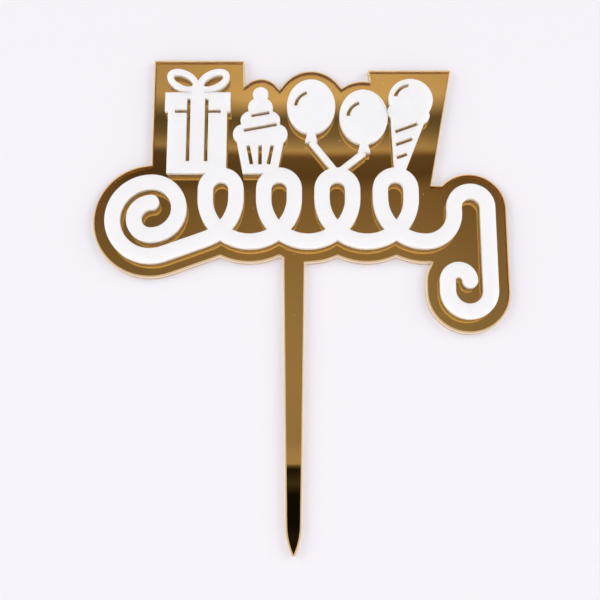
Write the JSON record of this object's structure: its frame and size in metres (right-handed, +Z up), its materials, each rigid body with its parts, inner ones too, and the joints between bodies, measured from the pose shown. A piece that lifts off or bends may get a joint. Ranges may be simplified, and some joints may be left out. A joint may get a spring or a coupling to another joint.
{
  "type": "cake topper",
  "caption": "Flat layered cake topper: a gold mirror plate with its own pointed stick, and a raised white party cut-out bonded to its face.",
  "frame": {"origin": "tip of the stick, midway through the mirror plate's thickness", "axes": "+Z up along the stick, as it stands in a cake, +X to the right seen from the front, and the front faces -Y"},
  "size_m": [0.1246, 0.0041, 0.15],
  "materials": {
    "white_acrylic": "polished opaque white sheet",
    "adhesive_film": "clear double-sided film",
    "gold_tint_acrylic": "polished clear sheet with a gold tint",
    "mirror_coating": "mirror",
    "back_paint": "satin protective paint"
  },
  "bodies": {
    "root": {"white_overlay": "white_acrylic", "bond_film": "adhesive_film", "tinted_sheet": "gold_tint_acrylic", "mirror_film": "mirror_coating", "back_coat": "back_paint"}
  },
  "joints": []
}
